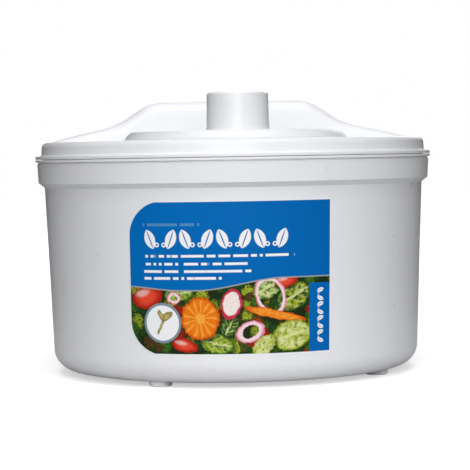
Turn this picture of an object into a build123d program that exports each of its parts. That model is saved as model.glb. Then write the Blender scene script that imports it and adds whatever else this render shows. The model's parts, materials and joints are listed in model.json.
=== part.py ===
"""Salad spinner: a bowl with a slotted basket, and a lid with an off-centre crank disc and its gears.

Millimetres, +Z up. The origin is at the middle of the base, on the surface that the feet stand on.
The front, with the label and the knob, faces -Y.
"""

import os
from math import acos, cos, pi, radians, sin, sqrt

from build123d import *

# Bowl
LIP_R = 125.0
WALL = 2.2
FLOOR_Z = 3.0
FLOOR_T = 2.6
WALL_FOOT_R = 115.6
WALL_FOOT_Z = 16.0
WALL_TOP_R = 119.6
WALL_TOP_Z = 117.8
BAND_LOW_R = 123.4
BAND_LOW_Z = 120.8
BAND_HIGH_R = 124.0
RIM_UNDER_Z = 133.6
RIM_Z = 135.2
RIM_EDGE = 0.25
LIP_GROOVE_DEPTH = 0.7
LIP_GROOVE_H = 1.0
PIP_R = 6.0
PIP_BASE_R = 11.0
PIP_TOP_Z = 22.0
FLOOR_RINGS_R = (40.0, 70.0)
FLOOR_RING_H = 0.8
FLOOR_RING_W = 2.0

# Feet
FOOT_R = 6.8
FOOT_CIRCLE_R = 97.5
FOOT_STEM_R = 3.0
FOOT_STEM_H = 1.4
FOOT_EDGE_R = 0.8
FOOT_ANGLES = {
    "foot_front_left": -120,
    "foot_front_right": -30,
    "foot_back_right": 60,
    "foot_back_left": 150,
}

# Label
LABEL_T = 0.2
LABEL_GAP = 0.02
LABEL_LOW_Z = 20.4
LABEL_HIGH_Z = 110.3
LABEL_ARC = 60.2
LABEL_MID_ANGLE = -94.1
LABEL_CORNER_R = 20.0
LABEL_PAST = 60.0

# Lid
LID_GAP = 0.3
FLANGE_Z = RIM_Z + LID_GAP
FLANGE_T = 2.0
FLANGE_EDGE = 0.3
RING_BASE_R = 121.3
RING_TOP_R = 121.1
RING_TOP_Z = 146.0
RING_EDGE_R = 3.5
RING_INNER_R = 111.5
DECK_EDGE_R = 110.3
DECK_Z = 142.0
DECK_T = 2.2
SKIRT_R = 120.6
SKIRT_T = 2.0
SKIRT_LOW_Z = 127.0

# Grip ridge on the lid
RIDGE_FRONT_Y = 29.5
RIDGE_BACK_Y = 50.0
RIDGE_TOP_Z = 171.6
RIDGE_TOP_HALF = 43.0
RIDGE_SHOULDER = (57.6, 167.6)
RIDGE_BEND = (70.0, 159.5)
RIDGE_SKIRT = (88.8, 153.5)
RIDGE_END = (119.0, 146.4)
RIDGE_EDGE_R = 6.0

# Dressing aperture behind the ridge
APERTURE_IN_R = 68.0
APERTURE_OUT_R = 94.0
APERTURE_HALF_ANGLE = 26.0
APERTURE_RIM_W = 2.2
APERTURE_RIM_H = 1.8

# Gear train
MODULE = 1.2
CRANK_TEETH = 51
PINION_TEETH = 17
PRESSURE_ANGLE = 20.0
FLANK_RELIEF = 0.14
CENTRES = MODULE * (CRANK_TEETH + PINION_TEETH) / 2
GEAR_Z = 133.3
GEAR_T = 5.0
GEAR_HOLES = 6
GEAR_HOLE_R = 6.0
GEAR_HOLES_AT_R = 18.5
PINION_Z = 132.8
PINION_T = 6.0
RUNNING_GAP = 0.06
SLIP_GAP = 0.05
CRANK_BUSH_WALL = 2.5
SHAFT_BOSS_WALL = 4.0

# Crank disc and knob
DISC_R = 68.2
DISC_TOP_Z = 151.4
DISC_LOW_Z = 143.2
DISC_CROWN = 0.3
DISC_BEVEL = 4.4
DISC_BEVEL_R = 14.0
HUB_R = 8.0
KEY_R = 6.6
KEY_FLAT = 5.2
KNOB_THROW = 41.2
POCKET_DEPTH = 0.8
POCKET_PLAY = 0.35
KNOB_LOW_Z = DISC_TOP_Z - POCKET_DEPTH + 0.3
KNOB_FLARE = 0.7
KNOB_TOP_Z = 173.4
KNOB_BASE_R = 18.7
KNOB_TOP_R = 18.2
POST_R = 5.0
POST_TOP_Z = 165.4

# Gear cover
COVER_Z = 127.5
COVER_T = 2.0
COVER_WALL = 1.8
COVER_GEAR_R = 33.4
COVER_PINION_R = 13.4
SCREW_POST_R = 4.0
SCREW_R = 1.5
SCREW_HEAD_R = 2.9
SCREW_HEAD_T = 1.8
SCREW_LENGTH = 9.6
SCREW_HOLE_DEPTH = 12.5
WASHER_PLAY = 0.1
WASHER_T = 1.0
SCREW_SINK = 0.2
SCREW_PLAY = 0.15
SLOT_CUT_W = 0.7
SLOT_CUT_T = 1.0
EAR_T = 4.0
EAR_WALL = 1.6
EARS_AT_R = 39.6
EAR_ANGLES = (-90, -150, -30)
BACK_EAR_X = 18.6
BACK_EAR_Y = 7.2

# Output shaft and driver wheel
SHAFT_R = 3.0
SHAFT_TOP_Z = 144.4
SHAFT_LOW_Z = 117.5
SHAFT_FLAT = 0.8
DRIVER_HUB_R = 9.0
HUB_STAND = 0.2
DRIVER_RING_R = 104.0
DRIVER_Z = 118.6
DRIVER_T = 3.6
DRIVER_RING_W = 5.0
SPOKE_W = 7.0
SPOKE_T = 2.4
SPOKE_RIB_W = 2.2
SPOKE_RIB_H = 4.6
LUG_COUNT = 6
LUG_W = 6.0
LUG_LENGTH = 6.0
LUG_AT_R = DRIVER_RING_R + 1

# Basket
BASKET_FLOOR_Z = 15.0
BASKET_WALL = 1.9
BASKET_FOOT_R = 101.0
BASKET_TOP_R = 107.4
BASKET_RIM_Z = 122.2
BASKET_RIM_R = 111.5
BASKET_RIM_H = 7.0
BASKET_RIM_T = 4.0
BASKET_FLOOR_T = 2.2
BASKET_CORNER_W = 8.0
BASKET_CORNER_H = 9.0
BASKET_CORNER_R = 8.6
BASKET_INNER_R = 7.4
BASKET_EDGE = 0.8
SOCKET_WALL = 3.6
SLOT_W = 3.2
SLOT_COUNT = 40
SLOT_LENGTH = 36.0
SLOT_ROWS_Z = (48.0, 90.0)
FLOOR_SLOT_ROWS = ((24, 12, 16), (46, 20, 20), (73, 32, 24))
NOTCH_DEPTH = 3.9
NOTCH_LENGTH = 8.4
NOTCH_PLAY = 1.2

# Cutters run past the material by this much.
PAST = 4.0

CRANK_Y = -CENTRES
KNOB_Y = CRANK_Y - KNOB_THROW


def save(part, name):
    """Labels a finished piece and writes it."""
    part.label = name
    export_step(part, f"parts/{name}.step")


def wall_radius(z):
    """Outer radius of the bowl's plain wall at a height."""
    share = (z - WALL_FOOT_Z) / (WALL_TOP_Z - WALL_FOOT_Z)
    return WALL_FOOT_R + share * (WALL_TOP_R - WALL_FOOT_R)


def gear_face(teeth):
    """Face of a spur gear with involute flanks, one tooth pointing along +Y."""
    pitch_r = MODULE * teeth / 2
    base_r = pitch_r * cos(radians(PRESSURE_ANGLE))
    tip_r = pitch_r + MODULE
    root_r = pitch_r - 1.25 * MODULE

    def involute(radius):
        if radius <= base_r:
            return 0.0
        turn = acos(base_r / radius)
        return sqrt((radius / base_r) ** 2 - 1) - turn

    half_tooth = pi / (2 * teeth) - FLANK_RELIEF / pitch_r + involute(pitch_r)

    def flank_point(radius, side):
        angle = half_tooth - involute(radius)
        return (side * radius * sin(angle), radius * cos(angle))

    start_r = max(base_r, root_r)
    steps = [start_r + (tip_r - start_r) * step / 4 for step in range(5)]
    sunk_r = root_r - 0.4
    with BuildSketch(mode=Mode.PRIVATE) as tooth:
        with BuildLine():
            right = Spline(*[flank_point(radius, 1) for radius in steps])
            left = Spline(*[flank_point(radius, -1) for radius in steps])
            ThreePointArc(left @ 1, (0, tip_r), right @ 1)
            foot_left = (-sunk_r * sin(half_tooth), sunk_r * cos(half_tooth))
            foot_right = (sunk_r * sin(half_tooth), sunk_r * cos(half_tooth))
            Polyline(left @ 0, foot_left, foot_right, right @ 0)
        make_face()
    with BuildSketch(mode=Mode.PRIVATE) as gear:
        Circle(root_r)
        with PolarLocations(0, teeth):
            add(tooth.sketch)
    return gear.sketch


os.makedirs("parts", exist_ok=True)


# ---------------------------------------------------------------- bowl
with BuildPart() as bowl:
    with BuildSketch(Plane.XZ):
        with BuildLine():
            corner_r = WALL_FOOT_Z - FLOOR_Z
            floor_end = (WALL_FOOT_R - corner_r, FLOOR_Z)
            Line((0, FLOOR_Z), floor_end)
            RadiusArc(floor_end, (WALL_FOOT_R, WALL_FOOT_Z), -corner_r)
            Polyline(
                (WALL_FOOT_R, WALL_FOOT_Z),
                (WALL_TOP_R, WALL_TOP_Z),
                (BAND_LOW_R, BAND_LOW_Z),
                (BAND_HIGH_R, RIM_UNDER_Z - LIP_GROOVE_H),
                (BAND_HIGH_R - LIP_GROOVE_DEPTH, RIM_UNDER_Z - LIP_GROOVE_H / 2),
                (BAND_HIGH_R - LIP_GROOVE_DEPTH, RIM_UNDER_Z),
                (LIP_R, RIM_UNDER_Z + 0.2),
                (LIP_R, RIM_Z - RIM_EDGE),
                (LIP_R - RIM_EDGE, RIM_Z),
                (BAND_HIGH_R - WALL - 0.6, RIM_Z),
                (BAND_LOW_R - WALL, BAND_LOW_Z + 0.8),
                (WALL_TOP_R - WALL, WALL_TOP_Z + 0.4),
                (WALL_FOOT_R - WALL, WALL_FOOT_Z),
            )
            inner_r = corner_r - FLOOR_T + 0.4
            inner_end = (WALL_FOOT_R - WALL - inner_r, FLOOR_Z + FLOOR_T)
            RadiusArc((WALL_FOOT_R - WALL, WALL_FOOT_Z), inner_end, inner_r)
            pip_round_z = PIP_TOP_Z - PIP_R
            Polyline(
                inner_end,
                (PIP_BASE_R, FLOOR_Z + FLOOR_T),
                (PIP_R, FLOOR_Z + FLOOR_T + 4),
                (PIP_R, pip_round_z),
            )
            RadiusArc((PIP_R, pip_round_z), (0, PIP_TOP_Z), -PIP_R)
            Line((0, PIP_TOP_Z), (0, FLOOR_Z))
        make_face()
    revolve(axis=Axis.Z)
    # Two shallow strengthening rings and the foot recesses under the floor.
    for ring_r in FLOOR_RINGS_R:
        with BuildSketch(Plane.XY.offset(FLOOR_Z)):
            Circle(ring_r + FLOOR_RING_W / 2)
            Circle(ring_r - FLOOR_RING_W / 2, mode=Mode.SUBTRACT)
        extrude(amount=-FLOOR_RING_H)
    with BuildSketch(Plane.XY.offset(FLOOR_Z)):
        for angle in FOOT_ANGLES.values():
            with PolarLocations(FOOT_CIRCLE_R, 1, start_angle=angle):
                Circle(FOOT_STEM_R + SLIP_GAP)
    extrude(amount=FOOT_STEM_H + 0.1, mode=Mode.SUBTRACT)
save(bowl.part, "bowl")


# ---------------------------------------------------------------- feet
for name, angle in FOOT_ANGLES.items():
    spot = (
        FOOT_CIRCLE_R * cos(radians(angle)),
        FOOT_CIRCLE_R * sin(radians(angle)),
    )
    with BuildPart() as foot:
        with BuildSketch():
            with Locations(spot):
                Circle(FOOT_R)
        extrude(amount=FLOOR_Z)
        fillet(foot.edges().group_by(Axis.Z)[0], FOOT_EDGE_R)
        with BuildSketch(Plane.XY.offset(FLOOR_Z)):
            with Locations(spot):
                Circle(FOOT_STEM_R)
        extrude(amount=FOOT_STEM_H)
    save(foot.part, name)


# ---------------------------------------------------------------- label
def label_along(vertex):
    """Distance of a point along the label, from its left to its right edge."""
    turn = radians(LABEL_MID_ANGLE)
    return -vertex.X * sin(turn) + vertex.Y * cos(turn)


with BuildPart() as label:
    label_plane = Plane.XZ.rotated((0, 0, LABEL_MID_ANGLE - LABEL_ARC / 2))
    with BuildSketch(label_plane):
        with BuildLine():
            low_r = wall_radius(LABEL_LOW_Z) + LABEL_GAP
            high_r = wall_radius(LABEL_HIGH_Z) + LABEL_GAP
            Polyline(
                (low_r, LABEL_LOW_Z),
                (low_r + LABEL_T, LABEL_LOW_Z),
                (high_r + LABEL_T, LABEL_HIGH_Z),
                (high_r, LABEL_HIGH_Z),
                close=True,
            )
        make_face()
    revolve(axis=Axis.Z, revolution_arc=LABEL_ARC)
    # Only the left corners are rounded. The outline is cut on a plane that faces the label.
    out_x = cos(radians(LABEL_MID_ANGLE))
    out_y = sin(radians(LABEL_MID_ANGLE))
    face_plane = Plane(origin=(0, 0, 0), x_dir=(-out_y, out_x, 0), z_dir=(out_x, out_y, 0))
    label_half = wall_radius(LABEL_LOW_Z) * sin(radians(LABEL_ARC / 2))
    with BuildSketch(face_plane) as label_outline:
        with Locations((LABEL_PAST, (LABEL_LOW_Z + LABEL_HIGH_Z) / 2)):
            Rectangle(2 * (label_half + LABEL_PAST), LABEL_HIGH_Z - LABEL_LOW_Z)
        fillet(label_outline.vertices().sort_by(label_along)[:2], LABEL_CORNER_R)
    extrude(amount=LIP_R + 10, mode=Mode.INTERSECT)
save(label.part, "label")


# ---------------------------------------------------------------- lid
COVER_EARS = [
    (EARS_AT_R * cos(radians(angle)), CRANK_Y + EARS_AT_R * sin(radians(angle)))
    for angle in EAR_ANGLES
] + [(-BACK_EAR_X, BACK_EAR_Y), (BACK_EAR_X, BACK_EAR_Y)]
DECK_LOW_Z = DECK_Z - DECK_T


def ridge_outline(inset):
    """Face of the bell-shaped ridge seen from the front, shrunk by the inset."""
    top_z = RIDGE_TOP_Z - inset
    half = RIDGE_TOP_HALF - inset * 0.3
    end_z = RIDGE_END[1] - inset
    with BuildSketch(mode=Mode.PRIVATE) as outline:
        with BuildLine():
            shoulder = Spline(
                (half, top_z),
                (RIDGE_SHOULDER[0] - inset, RIDGE_SHOULDER[1] - inset * 0.6),
                (RIDGE_BEND[0] - inset * 0.6, RIDGE_BEND[1] - inset * 0.8),
                (RIDGE_SKIRT[0] - inset * 0.3, RIDGE_SKIRT[1] - inset),
                (RIDGE_END[0], end_z),
                tangents=[(1, 0), (1, -0.25)],
            )
            Polyline(
                shoulder @ 1,
                (RIDGE_END[0], DECK_LOW_Z + 0.5 - inset),
                (0, DECK_LOW_Z + 0.5 - inset),
                (0, top_z),
                (half, top_z),
            )
        make_face()
        mirror(about=Plane.YZ)
    return outline.sketch


def top_outline(block):
    """Edges of a ridge block's two end faces, all but the ones along its base."""
    ends = block.faces().filter_by(Axis.Y)
    return ends.edges().filter_by(lambda edge: edge.center().Z > DECK_Z + 1 and abs(edge.center().X) < 118)


def aperture_outline(grow):
    """Face of the kidney-shaped opening, seen from above, grown by a margin."""
    mid_r = (APERTURE_IN_R + APERTURE_OUT_R) / 2
    width = APERTURE_OUT_R - APERTURE_IN_R + 2 * grow
    with BuildSketch(mode=Mode.PRIVATE) as outline:
        SlotArc(
            arc=CenterArc((0, 0), mid_r, 90 - APERTURE_HALF_ANGLE, 2 * APERTURE_HALF_ANGLE),
            height=width,
        )
    return outline.sketch


with BuildPart() as ridge:
    with BuildSketch(Plane.XZ.offset(-RIDGE_BACK_Y)):
        add(ridge_outline(0))
    extrude(amount=RIDGE_BACK_Y - RIDGE_FRONT_Y)
    fillet(top_outline(ridge), RIDGE_EDGE_R)
    with BuildSketch(Plane.XY):
        Circle(RING_TOP_R - 0.4)
    extrude(amount=RIDGE_TOP_Z + 10, mode=Mode.INTERSECT)

with BuildPart() as ridge_hollow:
    with BuildSketch(Plane.XZ.offset(-(RIDGE_BACK_Y - WALL))):
        add(ridge_outline(WALL))
    extrude(amount=RIDGE_BACK_Y - RIDGE_FRONT_Y - 2 * WALL)
    fillet(top_outline(ridge_hollow), RIDGE_EDGE_R - WALL)
    with BuildSketch(Plane.XY):
        Circle(RING_INNER_R - WALL)
    extrude(amount=RIDGE_TOP_Z + 10, mode=Mode.INTERSECT)

with BuildPart() as lid:
    with BuildSketch(Plane.XZ):
        with BuildLine():
            edge_start = (RING_TOP_R, RING_TOP_Z - RING_EDGE_R)
            edge_end = (RING_TOP_R - RING_EDGE_R, RING_TOP_Z)
            flange_top = FLANGE_Z + FLANGE_T
            Polyline(
                (SKIRT_R - SKIRT_T, SKIRT_LOW_Z),
                (SKIRT_R - 0.4, SKIRT_LOW_Z),
                (SKIRT_R, SKIRT_LOW_Z + 2),
                (SKIRT_R, FLANGE_Z),
                (LIP_R - FLANGE_EDGE, FLANGE_Z),
                (LIP_R, FLANGE_Z + FLANGE_EDGE),
                (LIP_R, flange_top - FLANGE_EDGE),
                (LIP_R - FLANGE_EDGE, flange_top),
                (RING_BASE_R + 0.9, flange_top),
                (RING_BASE_R, flange_top + 0.9),
                edge_start,
            )
            RadiusArc(edge_start, edge_end, -RING_EDGE_R)
            Polyline(
                edge_end,
                (RING_INNER_R + 1.0, RING_TOP_Z),
                (RING_INNER_R, RING_TOP_Z - 1.0),
                (DECK_EDGE_R, DECK_Z),
                (0, DECK_Z),
                (0, DECK_LOW_Z),
                (DECK_EDGE_R - 1.2, DECK_LOW_Z),
                (RING_INNER_R + 1.2, RING_TOP_Z - WALL),
                (RING_TOP_R - RING_EDGE_R, RING_TOP_Z - WALL),
                (RING_BASE_R - WALL - 1.0, RING_TOP_Z - RING_EDGE_R - 1),
                (SKIRT_R - SKIRT_T, FLANGE_Z),
                (SKIRT_R - SKIRT_T, SKIRT_LOW_Z),
            )
        make_face()
    revolve(axis=Axis.Z)
    add(ridge.part)
    # Raised rim round the dressing aperture, and the bearing bosses.
    with BuildSketch(Plane.XY.offset(DECK_LOW_Z)):
        add(aperture_outline(APERTURE_RIM_W))
    extrude(amount=DECK_T + APERTURE_RIM_H)
    with BuildSketch(Plane.XY.offset(DECK_LOW_Z)):
        Circle(SHAFT_R + SHAFT_BOSS_WALL)
    extrude(amount=SHAFT_TOP_Z + 1.6 - DECK_LOW_Z)
    with BuildSketch(Plane.XY.offset(DECK_LOW_Z)):
        with Locations(*COVER_EARS):
            Circle(SCREW_POST_R)
    extrude(amount=COVER_Z + EAR_T - DECK_LOW_Z)
    add(ridge_hollow.part, mode=Mode.SUBTRACT)
    with BuildSketch(Plane.XY.offset(DECK_LOW_Z - 1)):
        add(aperture_outline(0))
    extrude(amount=DECK_T + 1 + PAST, mode=Mode.SUBTRACT)
    with BuildSketch(Plane.XY.offset(DECK_LOW_Z - 1)):
        with Locations((0, CRANK_Y)):
            Circle(HUB_R + CRANK_BUSH_WALL + SLIP_GAP)
    extrude(amount=DECK_T + 1 + PAST, mode=Mode.SUBTRACT)
    with BuildSketch(Plane.XY.offset(DECK_LOW_Z - 1)):
        Circle(SHAFT_R + RUNNING_GAP)
    extrude(amount=SHAFT_TOP_Z + 0.4 - DECK_LOW_Z + 1, mode=Mode.SUBTRACT)
    with BuildSketch(Plane.XY.offset(COVER_Z)):
        with Locations(*COVER_EARS):
            Circle(SCREW_R + SLIP_GAP)
    extrude(amount=SCREW_HOLE_DEPTH, mode=Mode.SUBTRACT)
save(lid.part, "lid")


# ---------------------------------------------------------------- crank bush
BUSH_FLANGE_T = 1.0
BUSH_FLANGE_W = 2.5
BUSH_STAND = 0.6
with BuildPart() as crank_bush:
    with BuildSketch(Plane.XY.offset(DECK_LOW_Z - BUSH_STAND)):
        with Locations((0, CRANK_Y)):
            Circle(HUB_R + CRANK_BUSH_WALL)
    extrude(amount=DECK_T + BUSH_STAND)
    with BuildSketch(Plane.XY.offset(DECK_Z)):
        with Locations((0, CRANK_Y)):
            Circle(HUB_R + CRANK_BUSH_WALL + BUSH_FLANGE_W)
    extrude(amount=BUSH_FLANGE_T)
    with Locations((0, CRANK_Y, DECK_Z)):
        Cylinder(HUB_R + RUNNING_GAP, 20, mode=Mode.SUBTRACT)
save(crank_bush.part, "crank_bush")


# ---------------------------------------------------------------- gear cover
def gearbox_outline(extra):
    """Face of the gearbox seen from above: one circle round each gear and their common tangents."""
    with BuildSketch(mode=Mode.PRIVATE) as outline:
        with Locations((0, CRANK_Y)):
            Circle(COVER_GEAR_R + extra)
        Circle(COVER_PINION_R + extra)
        make_hull()
    return outline.sketch


BUSH_R = SHAFT_R + 2
OUTPUT_FLANGE_T = 0.8
COVER_BOSS_WALL = 2.5
COVER_BOSS_LOW_Z = 125.4
with BuildPart() as gear_cover:
    with BuildSketch(Plane.XY.offset(COVER_Z)):
        add(gearbox_outline(COVER_WALL))
        with Locations(*COVER_EARS):
            Circle(SCREW_POST_R + EAR_WALL)
    extrude(amount=EAR_T)
    with BuildSketch(Plane.XY.offset(COVER_Z)):
        add(gearbox_outline(COVER_WALL))
    extrude(amount=DECK_LOW_Z - COVER_Z)
    with BuildSketch(Plane.XY.offset(COVER_Z + COVER_T)):
        add(gearbox_outline(0))
    extrude(amount=DECK_LOW_Z - COVER_Z, mode=Mode.SUBTRACT)
    with BuildSketch(Plane.XY.offset(COVER_Z + EAR_T)):
        with Locations(*COVER_EARS):
            Circle(SCREW_POST_R + SLIP_GAP)
    extrude(amount=DECK_LOW_Z - COVER_Z, mode=Mode.SUBTRACT)
    with BuildSketch(Plane.XY.offset(COVER_BOSS_LOW_Z)):
        Circle(BUSH_R + COVER_BOSS_WALL)
    extrude(amount=COVER_Z - COVER_BOSS_LOW_Z)
    with Locations((0, 0, COVER_Z)):
        Cylinder(BUSH_R + SLIP_GAP, 12, mode=Mode.SUBTRACT)
    with BuildSketch(Plane.XY.offset(COVER_Z)):
        with Locations(*COVER_EARS):
            Circle(SCREW_R + 2 * SCREW_PLAY)
    extrude(amount=EAR_T + 1, mode=Mode.SUBTRACT)
    with BuildSketch(Plane.XY.offset(COVER_Z)):
        with Locations(*COVER_EARS):
            Circle(SCREW_HEAD_R + 2 * SCREW_PLAY)
    extrude(amount=SCREW_SINK + SCREW_HEAD_T, mode=Mode.SUBTRACT)
save(gear_cover.part, "gear_cover")


# ---------------------------------------------------------------- cover screws
with BuildPart() as cover_screws:
    with BuildSketch(Plane.XY.offset(COVER_Z + SCREW_SINK)):
        with Locations(*COVER_EARS):
            Circle(SCREW_HEAD_R)
    extrude(amount=SCREW_HEAD_T)
    with BuildSketch(Plane.XY.offset(COVER_Z + SCREW_SINK + SCREW_HEAD_T)):
        with Locations(*COVER_EARS):
            Circle(SCREW_R)
    extrude(amount=SCREW_LENGTH)
    with BuildSketch(Plane.XY.offset(COVER_Z + SCREW_SINK)):
        with Locations(*COVER_EARS):
            Rectangle(1.2 * SCREW_HEAD_R, SLOT_CUT_W)
            Rectangle(SLOT_CUT_W, 1.2 * SCREW_HEAD_R)
    extrude(amount=SLOT_CUT_T, mode=Mode.SUBTRACT)
save(cover_screws.part, "cover_screws")


# ---------------------------------------------------------------- output bush
with BuildPart() as output_bush:
    with BuildSketch(Plane.XY.offset(COVER_BOSS_LOW_Z)):
        Circle(BUSH_R)
        Circle(SHAFT_R + RUNNING_GAP, mode=Mode.SUBTRACT)
    extrude(amount=COVER_Z + COVER_T - COVER_BOSS_LOW_Z)
    with BuildSketch(Plane.XY.offset(COVER_Z + COVER_T)):
        Circle(BUSH_R + 2)
        Circle(SHAFT_R + RUNNING_GAP, mode=Mode.SUBTRACT)
    extrude(amount=OUTPUT_FLANGE_T)
save(output_bush.part, "output_bush")


# ---------------------------------------------------------------- crank disc
DISC_WALL = 2.2
DISC_PLATE_T = 2.4
HUB_SHOULDER_W = 3.5
HUB_LIFT = 0.3
POST_SINK = 0.5
CRANK_HOLE_DEPTH = 11.0
KNOB_HOLE_DEPTH = 10.0
RIB_COUNT = 8
RIB_W = 1.4
RIB_H = 2.4
with BuildPart() as crank_disc:
    with BuildSketch(Plane.XZ):
        with BuildLine():
            top_edge = (DISC_R - DISC_BEVEL, DISC_TOP_Z - DISC_CROWN)
            side_edge = (DISC_R, DISC_TOP_Z - DISC_CROWN - DISC_BEVEL)
            under_z = DISC_TOP_Z - DISC_PLATE_T - 0.2
            Polyline((0, DISC_TOP_Z - DISC_PLATE_T), (0, DISC_TOP_Z), (DISC_R - 20, DISC_TOP_Z), top_edge)
            RadiusArc(top_edge, side_edge, DISC_BEVEL_R)
            Polyline(
                side_edge,
                (DISC_R, DISC_LOW_Z + 0.3),
                (DISC_R - 0.3, DISC_LOW_Z),
                (DISC_R - DISC_WALL, DISC_LOW_Z),
                (DISC_R - DISC_WALL, side_edge[1]),
                (DISC_R - DISC_BEVEL, under_z),
                (0, DISC_TOP_Z - DISC_PLATE_T),
            )
        make_face()
    revolve(axis=Axis.Z)
    # Hub: a shoulder on the bush, the bearing, then a key with two flats for the drive gear.
    shoulder_z = DECK_Z + BUSH_FLANGE_T + HUB_LIFT
    with BuildSketch(Plane.XY.offset(shoulder_z)):
        Circle(HUB_R + HUB_SHOULDER_W)
    extrude(amount=DISC_TOP_Z - 2 - shoulder_z)
    with BuildSketch(Plane.XY.offset(GEAR_Z + GEAR_T)):
        Circle(HUB_R)
    extrude(amount=DECK_Z + 4 - GEAR_Z - GEAR_T)
    with BuildSketch(Plane.XY.offset(GEAR_Z)):
        Circle(KEY_R)
        Rectangle(2 * KEY_FLAT, 4 * KEY_R, mode=Mode.INTERSECT)
    extrude(amount=GEAR_T)
    # The knob's foot sits in a shallow pocket, round the post that it turns on.
    with BuildSketch(Plane.XY.offset(DISC_TOP_Z - POCKET_DEPTH)):
        with Locations((0, -KNOB_THROW)):
            Circle(KNOB_BASE_R + KNOB_FLARE + POCKET_PLAY)
    extrude(amount=2 * POCKET_DEPTH, mode=Mode.SUBTRACT)
    post_low_z = DISC_TOP_Z - POCKET_DEPTH - POST_SINK
    with BuildSketch(Plane.XY.offset(post_low_z)):
        with Locations((0, -KNOB_THROW)):
            Circle(POST_R)
    extrude(amount=POST_TOP_Z - post_low_z)
    # Ribs under the plate, between the hub and the turned-down edge.
    with BuildSketch(Plane.XY.offset(DISC_TOP_Z - 2 - RIB_H)):
        with PolarLocations(0, RIB_COUNT, start_angle=180 / RIB_COUNT):
            with Locations(((HUB_R + DISC_R - DISC_WALL) / 2 + 1, 0)):
                Rectangle(DISC_R - DISC_WALL - HUB_R - 3, RIB_W)
    extrude(amount=RIB_H)
    with BuildSketch(Plane.XY.offset(GEAR_Z)):
        Circle(SCREW_R + SLIP_GAP)
    extrude(amount=CRANK_HOLE_DEPTH, mode=Mode.SUBTRACT)
    with BuildSketch(Plane.XY.offset(POST_TOP_Z)):
        with Locations((0, -KNOB_THROW)):
            Circle(SCREW_R + SLIP_GAP)
    extrude(amount=-KNOB_HOLE_DEPTH, mode=Mode.SUBTRACT)
save(crank_disc.part.moved(Location((0, CRANK_Y, 0))), "crank_disc")


# ---------------------------------------------------------------- drive gear
with BuildPart() as drive_gear:
    with BuildSketch(Plane.XY.offset(GEAR_Z)):
        add(gear_face(CRANK_TEETH))
        with PolarLocations(GEAR_HOLES_AT_R, GEAR_HOLES, start_angle=30):
            Circle(GEAR_HOLE_R, mode=Mode.SUBTRACT)
    extrude(amount=GEAR_T)
    with BuildSketch(Plane.XY.offset(GEAR_Z)):
        Circle(KEY_R + SLIP_GAP)
        Rectangle(2 * (KEY_FLAT + SLIP_GAP), 4 * KEY_R, mode=Mode.INTERSECT)
    extrude(amount=GEAR_T, mode=Mode.SUBTRACT)
save(drive_gear.part.moved(Location((0, CRANK_Y, 0))), "drive_gear")


def pan_screw(seat_z, shank_length, head_r, head_t, spot, up):
    """Pan-head screw with a cross slot; the shank runs up or down from the seat."""
    way = 1 if up else -1
    with BuildPart() as screw:
        with BuildSketch(Plane.XY.offset(seat_z)):
            with Locations(spot):
                Circle(head_r)
        extrude(amount=-way * head_t)
        fillet(screw.edges().sort_by(Axis.Z)[0 if up else -1], head_t * 0.4)
        with BuildSketch(Plane.XY.offset(seat_z)):
            with Locations(spot):
                Circle(SCREW_R)
        extrude(amount=way * shank_length)
        with BuildSketch(Plane.XY.offset(seat_z - way * head_t)):
            with Locations(spot):
                Rectangle(head_r * 1.2, SLOT_CUT_W)
                Rectangle(SLOT_CUT_W, head_r * 1.2)
        extrude(amount=way * SLOT_CUT_T, mode=Mode.SUBTRACT)
    return screw.part


def washer(low_z, thickness, outer_r, spot):
    """Flat washer."""
    with BuildPart() as ring:
        with BuildSketch(Plane.XY.offset(low_z)):
            with Locations(spot):
                Circle(outer_r)
                Circle(SCREW_R + WASHER_PLAY, mode=Mode.SUBTRACT)
        extrude(amount=thickness)
    return ring.part


# ---------------------------------------------------------------- crank fixing
CRANK_SPOT = (0, CRANK_Y)
CRANK_WASHER_R = 9.0
CRANK_SEAT_Z = GEAR_Z - WASHER_T
save(washer(CRANK_SEAT_Z, WASHER_T, CRANK_WASHER_R, CRANK_SPOT), "crank_washer")
save(pan_screw(CRANK_SEAT_Z, 10.0, 3.4, 2.0, CRANK_SPOT, True), "crank_screw")


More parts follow.
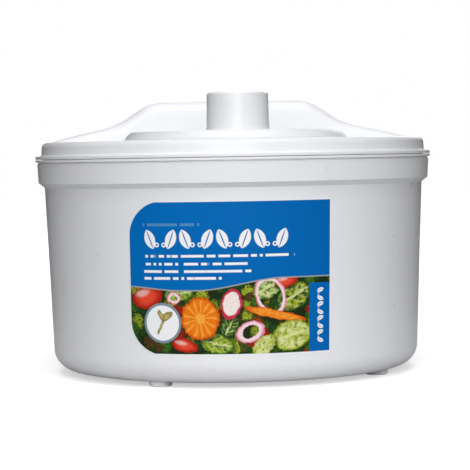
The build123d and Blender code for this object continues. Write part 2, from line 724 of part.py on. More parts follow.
# ---------------------------------------------------------------- knob
KNOB_SPOT = (0, KNOB_Y)
CAP_T = 2.0
KNOB_RIM_W = 1.8
CAP_LEDGE_W = 1.2
TUBE_TOP_Z = POST_TOP_Z - 0.3
TUBE_WALL = 2.4
WEB_LOW_Z = TUBE_TOP_Z - 5
WEB_TOP_Z = TUBE_TOP_Z - 3
with BuildPart() as knob:
    with BuildSketch(Plane.XZ):
        with BuildLine():
            Polyline(
                (KNOB_BASE_R + KNOB_FLARE, KNOB_LOW_Z),
                (KNOB_BASE_R + KNOB_FLARE, DISC_TOP_Z + 0.1),
                (KNOB_BASE_R + KNOB_FLARE / 3, DISC_TOP_Z + KNOB_FLARE),
                (KNOB_BASE_R, DISC_TOP_Z + 2 * KNOB_FLARE),
                (KNOB_TOP_R, KNOB_TOP_Z - 0.9),
                (KNOB_TOP_R - 0.9, KNOB_TOP_Z),
                (KNOB_TOP_R - KNOB_RIM_W, KNOB_TOP_Z),
                (KNOB_TOP_R - KNOB_RIM_W, KNOB_TOP_Z - CAP_T),
                (KNOB_TOP_R - KNOB_RIM_W - CAP_LEDGE_W, KNOB_TOP_Z - CAP_T),
                (KNOB_TOP_R - KNOB_RIM_W - CAP_LEDGE_W, WEB_TOP_Z),
                (POST_R + TUBE_WALL, WEB_TOP_Z),
                (POST_R + TUBE_WALL, TUBE_TOP_Z),
                (POST_R + RUNNING_GAP, TUBE_TOP_Z),
                (POST_R + RUNNING_GAP, KNOB_LOW_Z),
                (POST_R + TUBE_WALL, KNOB_LOW_Z),
                (POST_R + TUBE_WALL, WEB_LOW_Z),
                (KNOB_BASE_R - 2.2, WEB_LOW_Z),
                (KNOB_BASE_R - KNOB_RIM_W, KNOB_LOW_Z),
                close=True,
            )
        make_face()
    revolve(axis=Axis.Z)
save(knob.part.moved(Location((0, KNOB_Y, 0))), "knob")

CAP_R = KNOB_TOP_R - KNOB_RIM_W - SLIP_GAP
CAP_CROWN = 0.9
CAP_SKIRT_H = 1.6
CAP_SKIRT_WALL = 1.4
CAP_SKIRT_R = CAP_R - CAP_LEDGE_W
with BuildPart() as knob_cap:
    with BuildSketch(Plane.XZ):
        with BuildLine():
            crown_edge = (CAP_R, KNOB_TOP_Z - 0.1)
            crown_top = (0, KNOB_TOP_Z - 0.1 + CAP_CROWN)
            crown_r = (CAP_R**2 + CAP_CROWN**2) / (2 * CAP_CROWN)
            Polyline(crown_top, (0, KNOB_TOP_Z - CAP_T), (CAP_R, KNOB_TOP_Z - CAP_T), crown_edge)
            RadiusArc(crown_edge, crown_top, -crown_r)
        make_face()
    revolve(axis=Axis.Z)
    with BuildSketch(Plane.XY.offset(KNOB_TOP_Z - CAP_T)):
        Circle(CAP_SKIRT_R)
        Circle(CAP_SKIRT_R - CAP_SKIRT_WALL, mode=Mode.SUBTRACT)
    extrude(amount=-CAP_SKIRT_H)
save(knob_cap.part.moved(Location((0, KNOB_Y, 0))), "knob_cap")

KNOB_WASHER_R = 7.2
KNOB_WASHER_T = 0.8
save(washer(POST_TOP_Z, KNOB_WASHER_T, KNOB_WASHER_R, KNOB_SPOT), "knob_washer")
save(pan_screw(POST_TOP_Z + KNOB_WASHER_T, 9.0, 3.0, 1.8, KNOB_SPOT, False), "knob_screw")


# ---------------------------------------------------------------- pinion
with BuildPart() as pinion:
    with BuildSketch(Plane.XY.offset(PINION_Z)):
        add(gear_face(PINION_TEETH))
    extrude(amount=PINION_T)
    with BuildSketch(Plane.XY.offset(PINION_Z)):
        Circle(SHAFT_R + 2.6)
    extrude(amount=-(PINION_Z - COVER_Z - COVER_T - OUTPUT_FLANGE_T - 0.4))
    with Locations((0, 0, PINION_Z)):
        Cylinder(SHAFT_R + SLIP_GAP, 4 * (PINION_T + PAST), mode=Mode.SUBTRACT)
save(pinion.part, "pinion")


# ---------------------------------------------------------------- output shaft
DRIVER_HUB_TOP_Z = COVER_BOSS_LOW_Z - 0.6
with BuildPart() as output_shaft:
    with BuildSketch(Plane.XY.offset(SHAFT_LOW_Z)):
        Circle(SHAFT_R)
    extrude(amount=SHAFT_TOP_Z - SHAFT_LOW_Z)
    chamfer(output_shaft.edges().group_by(Axis.Z)[-1], 0.5)
    with BuildSketch(Plane.XY.offset(SHAFT_LOW_Z)):
        with Locations((0, SHAFT_R)):
            Rectangle(8, 2 * SHAFT_FLAT)
    extrude(amount=DRIVER_HUB_TOP_Z - SHAFT_LOW_Z, mode=Mode.SUBTRACT)
    with BuildSketch(Plane.XY.offset(SHAFT_LOW_Z)):
        Circle(SCREW_R + SLIP_GAP)
    extrude(amount=8, mode=Mode.SUBTRACT)
save(output_shaft.part, "output_shaft")


# ---------------------------------------------------------------- driver wheel
with BuildPart() as driver_wheel:
    with BuildSketch(Plane.XY.offset(DRIVER_Z)):
        Circle(DRIVER_RING_R)
        Circle(DRIVER_RING_R - DRIVER_RING_W, mode=Mode.SUBTRACT)
    extrude(amount=DRIVER_T)
    with BuildSketch(Plane.XY.offset(DRIVER_Z)):
        with PolarLocations(0, LUG_COUNT):
            with Locations((LUG_AT_R, 0)):
                Rectangle(LUG_LENGTH, LUG_W)
    extrude(amount=DRIVER_T)
    # Spokes, each with a rib along its top.
    for spoke_w, spoke_t in ((SPOKE_W, SPOKE_T), (SPOKE_RIB_W, SPOKE_RIB_H)):
        with BuildSketch(Plane.XY.offset(DRIVER_Z)):
            with PolarLocations(0, LUG_COUNT, start_angle=30):
                with Locations((DRIVER_RING_R / 2, 0)):
                    Rectangle(DRIVER_RING_R - 4, spoke_w)
        extrude(amount=spoke_t)
    with BuildSketch(Plane.XY.offset(SHAFT_LOW_Z - HUB_STAND)):
        Circle(DRIVER_HUB_R)
    extrude(amount=DRIVER_HUB_TOP_Z - SHAFT_LOW_Z + HUB_STAND)
    with BuildSketch(Plane.XY.offset(SHAFT_LOW_Z - 1)):
        Circle(SHAFT_R + SLIP_GAP)
        with Locations((0, SHAFT_R + SLIP_GAP)):
            Rectangle(8, 2 * SHAFT_FLAT, mode=Mode.SUBTRACT)
    extrude(amount=12, mode=Mode.SUBTRACT)
save(driver_wheel.part, "driver_wheel")

DRIVER_WASHER_R = 6.5
DRIVER_SEAT_Z = SHAFT_LOW_Z - HUB_STAND - WASHER_T
save(washer(DRIVER_SEAT_Z, WASHER_T, DRIVER_WASHER_R, (0, 0)), "driver_washer")
save(pan_screw(DRIVER_SEAT_Z, 8.0, 3.2, 2.0, (0, 0), True), "driver_screw")


# ---------------------------------------------------------------- basket
SOCKET_TOP_Z = PIP_TOP_Z + 3
with BuildPart() as basket:
    with BuildSketch(Plane.XZ):
        with BuildLine():
            floor_top_z = BASKET_FLOOR_Z + BASKET_FLOOR_T
            turn_z = BASKET_FLOOR_Z + BASKET_CORNER_H
            corner_start = (BASKET_FOOT_R - BASKET_CORNER_W, BASKET_FLOOR_Z)
            rim_z = BASKET_RIM_Z
            Line((0, BASKET_FLOOR_Z), corner_start)
            RadiusArc(corner_start, (BASKET_FOOT_R, turn_z), -BASKET_CORNER_R)
            Polyline(
                (BASKET_FOOT_R, turn_z),
                (BASKET_TOP_R, rim_z - BASKET_RIM_T),
                (BASKET_RIM_R - BASKET_WALL, rim_z - BASKET_RIM_T),
                (BASKET_RIM_R - BASKET_WALL, rim_z - BASKET_RIM_H),
                (BASKET_RIM_R, rim_z - BASKET_RIM_H),
                (BASKET_RIM_R, rim_z - BASKET_EDGE),
                (BASKET_RIM_R - BASKET_EDGE, rim_z),
                (BASKET_TOP_R - BASKET_WALL, rim_z),
                (BASKET_FOOT_R - BASKET_WALL, turn_z),
            )
            inner_start = (BASKET_FOOT_R - BASKET_WALL, turn_z)
            inner_end = (BASKET_FOOT_R - BASKET_CORNER_R, floor_top_z)
            RadiusArc(inner_start, inner_end, BASKET_INNER_R)
            Polyline(inner_end, (0, floor_top_z), (0, BASKET_FLOOR_Z))
        make_face()
    revolve(axis=Axis.Z)
    with BuildSketch(Plane.XY.offset(BASKET_FLOOR_Z - 2)):
        Circle(PIP_R + SOCKET_WALL)
    extrude(amount=SOCKET_TOP_Z - BASKET_FLOOR_Z + 2)
    # Notches in the rim for the driver's lugs.
    with BuildSketch(Plane.XY.offset(BASKET_RIM_Z - NOTCH_DEPTH)):
        with PolarLocations(0, LUG_COUNT):
            with Locations((LUG_AT_R, 0)):
                Rectangle(NOTCH_LENGTH, LUG_W + NOTCH_PLAY)
    extrude(amount=NOTCH_DEPTH + 2, mode=Mode.SUBTRACT)
    # Two rows of drain slots in the wall.
    for slot_z in SLOT_ROWS_Z:
        for number in range(SLOT_COUNT):
            turn = 2 * pi * number / SLOT_COUNT
            slot_plane = Plane(
                origin=(0, 0, slot_z),
                x_dir=(-sin(turn), cos(turn), 0),
                z_dir=(cos(turn), sin(turn), 0),
            )
            with BuildSketch(slot_plane.offset(BASKET_FOOT_R - BASKET_CORNER_W)):
                SlotOverall(SLOT_LENGTH, SLOT_W, rotation=90)
    extrude(amount=BASKET_CORNER_W + BASKET_RIM_R - BASKET_FOOT_R, mode=Mode.SUBTRACT)
    # Radial drain slots in the floor.
    with BuildSketch(Plane.XY.offset(BASKET_FLOOR_Z - 1)):
        for ring_r, count, length in FLOOR_SLOT_ROWS:
            with PolarLocations(ring_r, count, start_angle=180 / count):
                SlotOverall(length, SLOT_W)
    extrude(amount=BASKET_FLOOR_T + 1.8, mode=Mode.SUBTRACT)
    with BuildSketch(Plane.XY.offset(BASKET_FLOOR_Z - 3)):
        Circle(PIP_R + RUNNING_GAP)
    extrude(amount=PIP_TOP_Z + 0.4 - BASKET_FLOOR_Z + 3, mode=Mode.SUBTRACT)
save(basket.part, "basket")
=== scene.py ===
"""White salad spinner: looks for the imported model, with a studio, a camera and detailed materials."""

import json
import math

import bpy
from mathutils import Matrix, Vector

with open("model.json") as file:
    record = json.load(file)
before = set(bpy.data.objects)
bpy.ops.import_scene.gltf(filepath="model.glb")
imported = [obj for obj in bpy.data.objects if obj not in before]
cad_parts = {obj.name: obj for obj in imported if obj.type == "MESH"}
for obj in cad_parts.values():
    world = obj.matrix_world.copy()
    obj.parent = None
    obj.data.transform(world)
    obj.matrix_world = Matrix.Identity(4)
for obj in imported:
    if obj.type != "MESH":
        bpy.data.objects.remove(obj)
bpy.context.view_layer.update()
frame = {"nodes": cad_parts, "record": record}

MM = 0.001


# ---------------------------------------------------------------- node helpers
class Nodes:
    """Short names for building a material's node tree."""

    def __init__(self, name):
        self.material = bpy.data.materials.new(name)
        self.material.use_nodes = True
        self.tree = self.material.node_tree
        self.tree.nodes.clear()

    def add(self, kind, **settings):
        node = self.tree.nodes.new(kind)
        for key, value in settings.items():
            setattr(node, key, value)
        return node

    def link(self, source, target):
        self.tree.links.new(source, target)

    def feed(self, socket, value):
        """Links an output, or sets a plain value."""
        if isinstance(value, bpy.types.NodeSocket):
            self.link(value, socket)
        else:
            socket.default_value = value

    def math(self, operation, first, second=0.0, third=0.0, clamp=False):
        node = self.add("ShaderNodeMath", operation=operation, use_clamp=clamp)
        for socket, value in zip(node.inputs, (first, second, third)):
            self.feed(socket, value)
        return node.outputs[0]

    def ramp(self, value, low, high, start=0.0, end=1.0):
        """Smooth step of a value between two limits."""
        node = self.add("ShaderNodeMapRange", interpolation_type="SMOOTHSTEP")
        self.feed(node.inputs["Value"], value)
        node.inputs["From Min"].default_value = low
        node.inputs["From Max"].default_value = high
        node.inputs["To Min"].default_value = start
        node.inputs["To Max"].default_value = end
        return node.outputs["Result"]

    def mix(self, factor, first, second, blend="MIX"):
        node = self.add("ShaderNodeMix", data_type="RGBA", blend_type=blend)
        self.feed(node.inputs[0], factor)
        self.feed(node.inputs[6], first)
        self.feed(node.inputs[7], second)
        return node.outputs[2]

    def noise(self, vector, scale, detail=2.0, roughness=0.5):
        node = self.add("ShaderNodeTexNoise")
        node.inputs["Scale"].default_value = scale
        node.inputs["Detail"].default_value = detail
        node.inputs["Roughness"].default_value = roughness
        if vector is not None:
            self.link(vector, node.inputs["Vector"])
        return node.outputs["Fac"]

    def place(self):
        return self.add("ShaderNodeTexCoord").outputs["Object"]

    def bump(self, height, strength, distance):
        node = self.add("ShaderNodeBump")
        node.inputs["Strength"].default_value = strength
        node.inputs["Distance"].default_value = distance
        self.link(height, node.inputs["Height"])
        return node.outputs["Normal"]

    def shader(self, **sockets):
        node = self.add("ShaderNodeBsdfPrincipled")
        for key, value in sockets.items():
            self.feed(node.inputs[key.replace("_", " ")], value)
        out = self.add("ShaderNodeOutputMaterial")
        self.link(node.outputs[0], out.inputs["Surface"])
        return self.material


# ---------------------------------------------------------------- materials
def moulded_plastic(name, colour, shade, roughness, grain=0.25):
    """Injection-moulded polypropylene: faint flow marks, a fine tool texture and rubbed patches."""
    n = Nodes(name)
    place = n.place()
    flow = n.noise(place, 9.0, 2.0, 0.5)
    fine = n.noise(place, 2600.0, 2.0, 0.6)
    rubbed = n.noise(place, 90.0, 5.0, 0.62)
    tint = n.mix(n.ramp(flow, 0.2, 0.8), colour, shade)
    gloss = n.ramp(rubbed, 0.25, 0.8, roughness - 0.03, roughness + 0.05)
    normal = n.bump(fine, grain, 0.00004)
    return n.shader(
        Base_Color=tint,
        Roughness=gloss,
        Normal=normal,
        IOR=1.49,
        Specular_IOR_Level=0.5,
        Subsurface_Weight=0.08,
        Subsurface_Radius=(1.0, 1.0, 1.0),
        Subsurface_Scale=2.5 * MM,
        Coat_Weight=0.08,
        Coat_Roughness=0.12,
    )


def soft_foot(name):
    """Soft white elastomer with a matte bloom and a little picked-up dust."""
    n = Nodes(name)
    place = n.place()
    dust = n.noise(place, 420.0, 4.0, 0.65)
    fine = n.noise(place, 3800.0, 2.0, 0.5)
    tint = n.mix(n.ramp(dust, 0.5, 0.8), (0.84, 0.85, 0.86, 1), (0.70, 0.70, 0.70, 1))
    normal = n.bump(fine, 0.35, 0.0002)
    return n.shader(Base_Color=tint, Roughness=n.ramp(dust, 0.3, 0.8, 0.55, 0.75), Normal=normal, IOR=1.45)


def zinc_steel(name):
    """Zinc-plated steel with fine turned lines and passivation clouds."""
    n = Nodes(name)
    place = n.place()
    cloud = n.noise(place, 260.0, 3.0, 0.6)
    scratch = n.noise(place, 5200.0, 2.0, 0.7)
    tint = n.mix(n.ramp(cloud, 0.35, 0.7), (0.62, 0.63, 0.66, 1), (0.5, 0.52, 0.5, 1))
    normal = n.bump(scratch, 0.2, 0.0001)
    gloss = n.ramp(cloud, 0.3, 0.8, 0.24, 0.4)
    return n.shader(Base_Color=tint, Metallic=1.0, Roughness=gloss, Normal=normal)


# ---------------------------------------------------------------- label
LABEL_RADIUS_MM = 117.6
LABEL_LEFT = math.radians(-124.2)
LABEL_WIDE = 123.5
LABEL_HIGH = 89.9
LABEL_FOOT_MM = 20.4
INK = {
    "paper": (0.86, 0.87, 0.89, 1),
    "blue_left": (0.0, 0.140, 0.47, 1),
    "blue_right": (0.0, 0.128, 0.43, 1),
    "pale_grey": (0.30, 0.33, 0.36, 1),
    "soft_blue": (0.08, 0.24, 0.50, 1),
    "ground": (0.012, 0.026, 0.008, 1),
    "brown": (0.10, 0.045, 0.015, 1),
    "deep_green": (0.02, 0.07, 0.012, 1),
    "leaf_green": (0.06, 0.18, 0.015, 1),
    "yellow_green": (0.38, 0.46, 0.03, 1),
    "pale_green": (0.66, 0.70, 0.30, 1),
    "tomato": (0.42, 0.012, 0.006, 1),
    "tomato_light": (0.74, 0.07, 0.03, 1),
    "orange": (0.80, 0.19, 0.008, 1),
    "orange_deep": (0.62, 0.09, 0.004, 1),
    "orange_pale": (0.90, 0.40, 0.05, 1),
    "white_flesh": (0.85, 0.78, 0.72, 1),
    "radish": (0.55, 0.03, 0.07, 1),
    "onion": (0.70, 0.22, 0.34, 1),
    "onion_pale": (0.86, 0.66, 0.68, 1),
    "slate": (0.20, 0.27, 0.33, 1),
    "olive": (0.22, 0.18, 0.05, 1),
    "yellow_olive": (0.50, 0.42, 0.14, 1),
}
SPRIG = (
    (62, (20.6, 17.2), (5.6, 0.9)),
    (38, (24.2, 22.6), (4.2, 2.0)),
    (112, (20.6, 23.4), (3.2, 1.5)),
)


class Print(Nodes):
    """Layers of ink on flat label coordinates in millimetres: u along the arc, v up from the foot."""

    def __init__(self, name):
        super().__init__(name)
        split = self.add("ShaderNodeSeparateXYZ")
        self.link(self.place(), split.inputs[0])
        turn = self.math("ARCTAN2", split.outputs[1], split.outputs[0])
        self.u = self.math("MULTIPLY_ADD", turn, LABEL_RADIUS_MM, -LABEL_LEFT * LABEL_RADIUS_MM)
        self.v = self.math("MULTIPLY_ADD", split.outputs[2], 1000.0, -LABEL_FOOT_MM)
        self.flat = self.pair(self.u, self.v)
        self.frilly = self.drifted(0.55, 3.4)
        self.wavy = self.drifted(0.22, 2.6)
        self.colour = INK["paper"]

    def drifted(self, scale, amount):
        """Flat coordinates pushed about by noise, for outlines that aren't regular."""
        drift = self.add("ShaderNodeTexNoise")
        drift.inputs["Scale"].default_value = scale
        drift.inputs["Detail"].default_value = 2.5
        self.link(self.flat, drift.inputs["Vector"])
        centred = self.add("ShaderNodeVectorMath", operation="SUBTRACT")
        self.link(drift.outputs["Color"], centred.inputs[0])
        centred.inputs[1].default_value = (0.5, 0.5, 0.5)
        shift = self.add("ShaderNodeVectorMath", operation="MULTIPLY_ADD")
        self.link(centred.outputs[0], shift.inputs[0])
        shift.inputs[1].default_value = (amount, amount, 0)
        self.link(self.flat, shift.inputs[2])
        return shift.outputs[0]

    def pair(self, first, second):
        node = self.add("ShaderNodeCombineXYZ")
        self.feed(node.inputs[0], first)
        self.feed(node.inputs[1], second)
        return node.outputs[0]

    def local(self, centre, half, turn=0.0, source=None):
        """Coordinates that are -1 to 1 across a shape of this centre, half size and turn."""
        node = self.add("ShaderNodeMapping", vector_type="TEXTURE")
        self.link(source or self.flat, node.inputs["Vector"])
        node.inputs["Location"].default_value = (centre[0], centre[1], 0)
        node.inputs["Rotation"].default_value = (0, 0, math.radians(turn))
        node.inputs["Scale"].default_value = (half[0], half[1], 1)
        return node.outputs[0]

    def far(self, vector):
        node = self.add("ShaderNodeVectorMath", operation="LENGTH")
        self.link(vector, node.inputs[0])
        return node.outputs["Value"]

    def disc(self, centre, half, turn=0.0, source=None, soft=0.03):
        """Mask of an ellipse, and the distance from its middle."""
        reach = self.far(self.local(centre, half, turn, source))
        return self.ramp(reach, 1 - soft, 1 + soft, 1.0, 0.0), reach

    def below(self, value, limit, soft=0.12):
        """Mask that is 1 where a value is below a limit."""
        gap = self.math("SUBTRACT", value, limit)
        return self.ramp(gap, -soft, soft, 1.0, 0.0)

    def between(self, value, low, high, soft=0.12):
        return self.math("MULTIPLY", self.below(value, high, soft), self.below(low, value, soft))

    def box(self, left, right, foot, top, soft=0.12):
        return self.both(self.between(self.u, left, right, soft), self.between(self.v, foot, top, soft))

    def ink(self, mask, colour):
        self.colour = self.mix(mask, self.colour, colour)

    def shade(self, centre, half, turn=0.0):
        """Soft shadow below and to the right of a piece."""
        place = (centre[0] + 0.7, centre[1] - 1.0)
        reach = self.far(self.local(place, (half[0] * 1.12, half[1] * 1.12), turn))
        self.ink(self.ramp(reach, 0.8, 1.12, 0.8, 0.0), INK["ground"])

    def both(self, first, second):
        return self.math("MULTIPLY", first, second)


def leaf_ground(p):
    """Torn leaves, crowded together: cells of dark and bright green with veins and dark gaps."""
    cells = p.add("ShaderNodeTexVoronoi", feature="F1")
    cells.inputs["Scale"].default_value = 0.15
    p.link(p.frilly, cells.inputs["Vector"])
    split = p.add("ShaderNodeSeparateColor")
    p.link(cells.outputs["Color"], split.inputs[0])
    pick = split.outputs[0]
    green = p.mix(p.ramp(pick, 0.25, 0.5), INK["deep_green"], INK["leaf_green"])
    green = p.mix(p.ramp(pick, 0.62, 0.8), green, INK["yellow_green"])
    green = p.mix(p.ramp(split.outputs[1], 0.82, 0.9), green, INK["tomato"])
    green = p.mix(p.ramp(split.outputs[2], 0.86, 0.92), green, INK["brown"])
    creases = p.noise(p.flat, 0.9, 4.0, 0.7)
    green = p.mix(p.ramp(creases, 0.45, 0.62), green, INK["ground"])
    gap = p.ramp(cells.outputs["Distance"], 0.42, 0.75)
    return p.mix(gap, green, INK["ground"])


def leaf(p, centre, half, turn, dark, light):
    """A frilled leaf, pale along its rib and darker at its crumpled edge."""
    p.shade(centre, half, turn)
    place = p.local(centre, half, turn, p.frilly)
    reach = p.far(place)
    crumple = p.noise(place, 2.4, 4.0, 0.66)
    body = p.mix(p.ramp(crumple, 0.4, 0.6), light, dark)
    body = p.mix(p.ramp(p.noise(p.flat, 0.35, 2.0), 0.5, 0.68, 0.0, 0.6), body, INK["ground"])
    parts = p.add("ShaderNodeSeparateXYZ")
    p.link(place, parts.inputs[0])
    off_rib = p.math("ABSOLUTE", parts.outputs[1])
    slant = p.math("MULTIPLY_ADD", off_rib, -11.0, p.math("MULTIPLY", parts.outputs[0], 16.0))
    veins = p.ramp(p.math("SINE", slant), 0.55, 1.0, 0.0, 0.5)
    body = p.mix(veins, body, INK["pale_green"])
    rib = p.ramp(off_rib, 0.03, 0.14, 0.85, 0.0)
    body = p.mix(rib, body, INK["pale_green"])
    p.ink(p.ramp(reach, 0.9, 1.08, 1.0, 0.0), p.mix(p.ramp(reach, 0.75, 1.0), body, dark))


def tomato(p, centre, half, turn):
    p.shade(centre, half, turn)
    mask, reach = p.disc(centre, half, turn, p.wavy)
    shine_at = (centre[0] - 0.3 * half[0], centre[1] + 0.35 * half[1])
    shine, _ = p.disc(shine_at, (0.42 * half[0], 0.3 * half[1]), turn, None, 0.5)
    body = p.mix(p.ramp(reach, 0.35, 1.0), INK["tomato_light"], INK["tomato"])
    p.ink(mask, p.mix(p.both(shine, p.noise(p.flat, 0.8)), body, INK["white_flesh"]))


def carrot(p, centre, half, turn):
    """A carrot slice with a paler core and fine rays."""
    p.shade(centre, half, turn)
    place = p.local(centre, half, turn, p.wavy)
    parts = p.add("ShaderNodeSeparateXYZ")
    p.link(place, parts.inputs[0])
    spin = p.math("ARCTAN2", parts.outputs[1], parts.outputs[0])
    crinkle = p.math("SINE", p.math("MULTIPLY", spin, 26.0))
    reach = p.math("MULTIPLY_ADD", crinkle, 0.02, p.far(place))
    pulp = p.noise(p.flat, 0.9, 3.0, 0.6)
    rays = p.math("SINE", p.math("MULTIPLY_ADD", pulp, 2.5, p.math("MULTIPLY", spin, 13.0)))
    body = p.mix(p.ramp(rays, 0.0, 0.9, 0.0, 0.8), INK["orange"], INK["orange_pale"])
    body = p.mix(p.ramp(reach, 0.16, 0.3, 1.0, 0.0), body, INK["orange_pale"])
    body = p.mix(p.ramp(reach, 0.8, 0.97), body, INK["orange_deep"])
    body = p.mix(p.ramp(pulp, 0.45, 0.75, 0.0, 0.45), body, INK["orange_deep"])
    p.ink(p.ramp(reach, 0.97, 1.01, 1.0, 0.0), body)


def radish(p, centre, half, turn):
    p.shade(centre, half, turn)
    mask, reach = p.disc(centre, half, turn, p.wavy)
    grain = p.noise(p.flat, 0.5, 3.0, 0.6)
    body = p.mix(p.ramp(grain, 0.4, 0.7), INK["white_flesh"], INK["onion_pale"])
    p.ink(mask, p.mix(p.ramp(reach, 0.74, 0.84), body, INK["radish"]))


def onion(p, centre, half, turn, thick):
    """A cut onion ring, deep pink outside and nearly white inside."""
    place = p.local(centre, half, turn, p.wavy)
    reach = p.far(place)
    ring = p.between(reach, 1.0 - thick, 1.0, 0.03)
    streak = p.noise(place, 2.5, 3.0, 0.6)
    skin = p.mix(p.ramp(streak, 0.4, 0.6), INK["onion"], INK["radish"])
    p.ink(ring, p.mix(p.ramp(reach, 1.0 - 0.6 * thick, 1.0), INK["onion_pale"], skin))


def stick(p, centre, half, turn):
    p.shade(centre, half, turn)
    mask, reach = p.disc(centre, half, turn, p.wavy)
    streak = p.noise(p.local(centre, half, turn), 5.0, 2.0)
    body = p.mix(p.ramp(streak, 0.4, 0.65), INK["orange"], INK["orange_pale"])
    p.ink(mask, p.mix(p.ramp(reach, 0.6, 1.0), body, INK["orange_deep"]))


def leaf_row(p, along, across, count, start, pitch, middle, colour):
    """Pointed leaves in a row, leaning left and right in turn, with open ribs and a ring beside each."""
    turns = p.math("DIVIDE", p.math("SUBTRACT", along, start), pitch)
    number = p.math("FLOOR", turns)
    side = p.math("MULTIPLY_ADD", p.math("MODULO", number, 2.0), -2.0, 1.0)
    step = p.math("MULTIPLY", p.math("SUBTRACT", p.math("SUBTRACT", turns, number), 0.5), side)
    rise = p.math("DIVIDE", p.math("SUBTRACT", across, middle), pitch)
    place = p.pair(step, rise)
    inside = p.between(turns, 0.0, count, 0.01)
    for shift in (-0.36, 0.36):
        half_leaf, _ = p.disc((-0.1 + shift * 0.94, shift * 0.34), (0.66, 0.66), 0, place, 0.03)
        inside = p.both(inside, half_leaf)
    rib = p.far(p.local((-0.1, 0.0), (0.03, 0.46), 20, place))
    p.ink(p.both(inside, p.ramp(rib, 0.9, 1.3)), colour)
    dot = p.far(p.local((0.3, -0.3), (0.13, 0.13), 0, place))
    shown = p.both(p.between(dot, 0.45, 1.0, 0.06), p.between(turns, 0.0, count, 0.01))
    p.ink(shown, colour)


def word_bar(p, foot, left, right, high, colour):
    """A bar broken into uneven dashes."""
    cell = p.add("ShaderNodeTexWhiteNoise", noise_dimensions="2D")
    p.link(p.pair(p.math("FLOOR", p.math("DIVIDE", p.u, 1.7)), foot), cell.inputs["Vector"])
    dash = p.ramp(cell.outputs["Value"], 0.16, 0.2)
    p.ink(p.both(dash, p.box(left, right, foot, foot + high, 0.2)), colour)


def salad_picture(p):
    """Torn leaves with slices of vegetables scattered over them."""
    p.colour = leaf_ground(p)
    leaf(p, (32, 36), (9, 4.5), 10, INK["leaf_green"], INK["yellow_green"])
    leaf(p, (100, 34), (11, 8), 30, INK["deep_green"], INK["yellow_green"])
    leaf(p, (54, 7), (10, 6), -12, INK["leaf_green"], INK["yellow_green"])
    leaf(p, (84, 39), (9, 6), 25, INK["leaf_green"], INK["pale_green"])
    tomato(p, (12, 34), (10, 6.5), 14)
    tomato(p, (35, 6), (8, 4), -12)
    tomato(p, (95, 42.5), (7, 3.6), 8)
    carrot(p, (44.5, 21.5), (11.5, 12.5), 0)
    leaf(p, (62, 17.5), (7, 5), 62, INK["deep_green"], INK["leaf_green"])
    radish(p, (63, 30), (6.0, 9.0), -12)
    onion(p, (86, 34.5), (9, 12), 24, 0.24)
    stick(p, (89, 23.5), (19, 2.6), -12)
    leaf(p, (99, 11), (12, 8.5), 14, INK["yellow_green"], INK["pale_green"])
    leaf(p, (82, 5.5), (8, 5), 40, INK["yellow_green"], INK["pale_green"])
    onion(p, (74, 13.5), (9, 6), 22, 0.42)
    onion(p, (29, 33.5), (4.2, 3.6), 0, 0.5)


def label_paper(name):
    """Coated paper sticker: a blue field over a picture of salad, with generic marks and an inset."""
    p = Print(name)
    wave = p.math("ADD", p.ramp(p.u, 42.0, 94.5, 37.9, 44.8), p.ramp(p.u, 0.0, 32.0, 2.2, 0.0))
    salad_picture(p)
    rim, reach = p.disc((21.4, 18.9), (11.8, 11.8), 0, None, 0.02)
    p.ink(rim, INK["slate"])
    p.ink(p.ramp(reach, 0.86, 0.89, 1.0, 0.0), INK["paper"])
    for turn, place, half in SPRIG:
        piece, reach = p.disc(place, half, turn, p.wavy, 0.12)
        p.ink(piece, p.mix(p.ramp(reach, 0.2, 1.0), INK["yellow_olive"], INK["olive"]))
    blue = p.mix(p.ramp(p.u, 0.0, LABEL_WIDE), INK["blue_left"], INK["blue_right"])
    p.ink(p.below(wave, p.v), blue)
    p.ink(p.box(109.7, LABEL_WIDE, -1.0, 41.0), blue)
    p.ink(p.below(p.math("ABSOLUTE", p.math("SUBTRACT", p.v, wave)), 0.4), INK["pale_grey"])
    leaf_row(p, p.u, p.v, 8, 10.8, 10.84, 67.8, INK["paper"])
    leaf_row(p, p.v, p.u, 8, 5.6, 4.1, 116.8, INK["paper"])
    word_bar(p, 75.4, 10.8, 45.5, 1.7, INK["soft_blue"])
    for foot, right in ((57.2, 100.5), (52.6, 72.8), (48.3, 74.9), (44.3, 57.7)):
        word_bar(p, foot, 10.8, right, 1.5, INK["paper"])
    edge = p.box(0.7, LABEL_WIDE - 0.5, 0.8, LABEL_HIGH - 0.6)
    colour = p.mix(edge, INK["paper"], p.colour)
    fibre = p.noise(p.flat, 3.0, 3.0, 0.6)
    normal = p.bump(fibre, 0.08, 0.0001)
    gloss = p.ramp(p.noise(p.flat, 0.08, 3.0, 0.6), 0.3, 0.7, 0.45, 0.55)
    return p.shader(Base_Color=colour, Roughness=gloss, Normal=normal, IOR=1.48, Specular_IOR_Level=0.05)


WHITE = moulded_plastic("white_polypropylene", (0.83, 0.838, 0.862, 1), (0.822, 0.83, 0.853, 1), 0.3)
BASKET_WHITE = moulded_plastic("basket_plastic", (0.82, 0.83, 0.86, 1), (0.78, 0.79, 0.82, 1), 0.36, 0.35)
ACETAL = moulded_plastic("natural_acetal", (0.74, 0.73, 0.68, 1), (0.70, 0.69, 0.63, 1), 0.38, 0.3)
FOOT = soft_foot("foot_elastomer")
STEEL = zinc_steel("zinc_plated_steel")
SLOT_MATERIALS = {
    "white_plastic": WHITE,
    "foot_plastic": FOOT,
    "acetal": ACETAL,
    "steel": STEEL,
    "label_paper": label_paper("printed_label"),
}

for subpart in frame["record"]["subparts"]:
    node = frame["nodes"][subpart["node"]]
    chosen = SLOT_MATERIALS[subpart["material_slot"]]
    if subpart["node"] in ("basket", "driver_wheel", "gear_cover"):
        chosen = BASKET_WHITE
    for material_slot in node.material_slots:
        material_slot.material = chosen


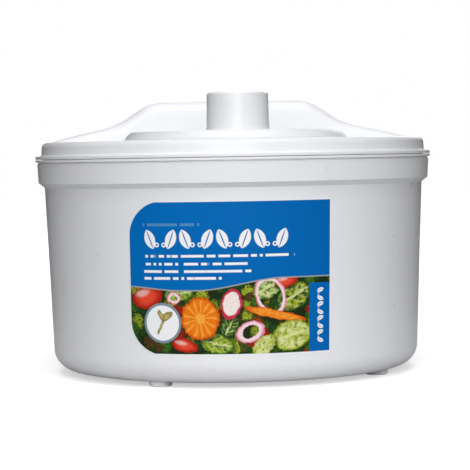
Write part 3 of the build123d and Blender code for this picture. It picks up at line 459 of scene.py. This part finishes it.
# ---------------------------------------------------------------- studio
def stage_mesh(name, corners, faces, material):
    mesh = bpy.data.meshes.new(name)
    mesh.from_pydata(corners, [], faces)
    mesh.materials.append(material)
    obj = bpy.data.objects.new(name, mesh)
    bpy.context.scene.collection.objects.link(obj)
    return obj


FLOOR_GLOW = 0.5


def floor_material():
    """White floor that looks brighter with distance, without a horizon, and throws back a soft light."""
    n = Nodes("studio_floor")
    reach = n.add("ShaderNodeVectorMath", operation="LENGTH")
    n.link(n.place(), reach.inputs[0])
    seen = n.add("ShaderNodeBsdfPrincipled")
    seen.inputs["Base Color"].default_value = (0.9, 0.9, 0.905, 1)
    seen.inputs["Specular IOR Level"].default_value = 0.0
    seen.inputs["Emission Color"].default_value = (1, 1, 1, 1)
    n.link(n.ramp(reach.outputs["Value"], 0.2, 1.2, FLOOR_GLOW, 1.0), seen.inputs["Emission Strength"])
    thrown = n.add("ShaderNodeBsdfDiffuse")
    n.link(n.ramp(reach.outputs["Value"], 0.14, 0.6, 0.62, 0.2), thrown.inputs["Color"])
    path = n.add("ShaderNodeLightPath")
    chooser = n.add("ShaderNodeMixShader")
    n.link(path.outputs["Is Camera Ray"], chooser.inputs[0])
    n.link(thrown.outputs[0], chooser.inputs[1])
    n.link(seen.outputs[0], chooser.inputs[2])
    n.link(chooser.outputs[0], n.add("ShaderNodeOutputMaterial").inputs["Surface"])
    return n.material


HALF = 6.0
stage_mesh(
    "studio_floor",
    [(-HALF, -HALF, 0), (HALF, -HALF, 0), (HALF, HALF, 0), (-HALF, HALF, 0)],
    [(0, 1, 2, 3)],
    floor_material(),
)


def area_light(name, place, target, width, height, power):
    light = bpy.data.lights.new(name, "AREA")
    light.shape = "RECTANGLE"
    light.size = width
    light.size_y = height
    light.energy = power
    obj = bpy.data.objects.new(name, light)
    obj.location = place
    aim = Vector(target) - Vector(place)
    obj.rotation_euler = aim.to_track_quat("-Z", "Y").to_euler()
    bpy.context.scene.collection.objects.link(obj)
    return obj


area_light("key_light", (-0.1, -2.1, 0.75), (0, 0, 0.08), 1.3, 1.1, 22.2)
area_light("front_top_light", (0.0, -0.85, 1.5), (0, 0, 0.1), 1.3, 0.9, 11.0)
area_light("top_light", (0.0, 0.2, 1.6), (0, 0, 0.1), 1.2, 1.0, 6.0)
area_light("left_light", (-1.15, -1.75, 0.8), (0, 0, 0.08), 0.8, 0.9, 5.4)
area_light("right_light", (1.25, -1.65, 0.8), (0, 0, 0.08), 0.8, 0.9, 6.1)
area_light("back_light", (0.3, 2.2, 1.0), (0, 0, 0.08), 1.4, 1.0, 9.0)

world = bpy.data.worlds.new("studio_world")
bpy.context.scene.world = world
world.use_nodes = True
world_tree = world.node_tree
world_tree.nodes.clear()
seen = world_tree.nodes.new("ShaderNodeBackground")
seen.inputs["Color"].default_value = (1, 1, 1, 1)
seen.inputs["Strength"].default_value = 1.0
lit = world_tree.nodes.new("ShaderNodeBackground")
lit.inputs["Color"].default_value = (0.93, 0.95, 1, 1)
lit.inputs["Strength"].default_value = 0.01
path = world_tree.nodes.new("ShaderNodeLightPath")
chooser = world_tree.nodes.new("ShaderNodeMixShader")
world_out = world_tree.nodes.new("ShaderNodeOutputWorld")
world_tree.links.new(path.outputs["Is Camera Ray"], chooser.inputs[0])
world_tree.links.new(lit.outputs[0], chooser.inputs[1])
world_tree.links.new(seen.outputs[0], chooser.inputs[2])
world_tree.links.new(chooser.outputs[0], world_out.inputs["Surface"])
bpy.context.scene.view_settings.view_transform = "Standard"


# ---------------------------------------------------------------- camera
FOCAL_SHARE = 4.034
DISTANCE = 1.21
SIDE_ANGLE = math.radians(2.4)
CAMERA_Z = 0.1358
PITCH = math.radians(2.386)
YAW = math.radians(0.03)
ROLL = math.radians(1.0)


def make_camera():
    """Level camera a little left of the front, turned by its yaw, pitch and roll."""
    camera = bpy.data.cameras.new("camera")
    camera.sensor_width = 36.0
    camera.lens = 36.0 * FOCAL_SHARE
    camera.clip_start = 0.01
    camera.clip_end = 50.0
    obj = bpy.data.objects.new("camera", camera)
    bpy.context.scene.collection.objects.link(obj)
    bpy.context.scene.camera = obj
    spot = Vector((-DISTANCE * math.sin(SIDE_ANGLE), -DISTANCE * math.cos(SIDE_ANGLE), CAMERA_Z))
    heading = math.pi / 2 - SIDE_ANGLE - YAW
    forward = Vector(
        (
            math.cos(heading) * math.cos(PITCH),
            math.sin(heading) * math.cos(PITCH),
            -math.sin(PITCH),
        )
    )
    right = forward.cross(Vector((0, 0, 1))).normalized()
    up = right.cross(forward)
    rolled_up = up * math.cos(ROLL) + right * math.sin(ROLL)
    rolled_right = right * math.cos(ROLL) - up * math.sin(ROLL)
    obj.matrix_world = Matrix(
        (
            (rolled_right.x, rolled_up.x, -forward.x, spot.x),
            (rolled_right.y, rolled_up.y, -forward.y, spot.y),
            (rolled_right.z, rolled_up.z, -forward.z, spot.z),
            (0, 0, 0, 1),
        )
    )
    return obj


make_camera()
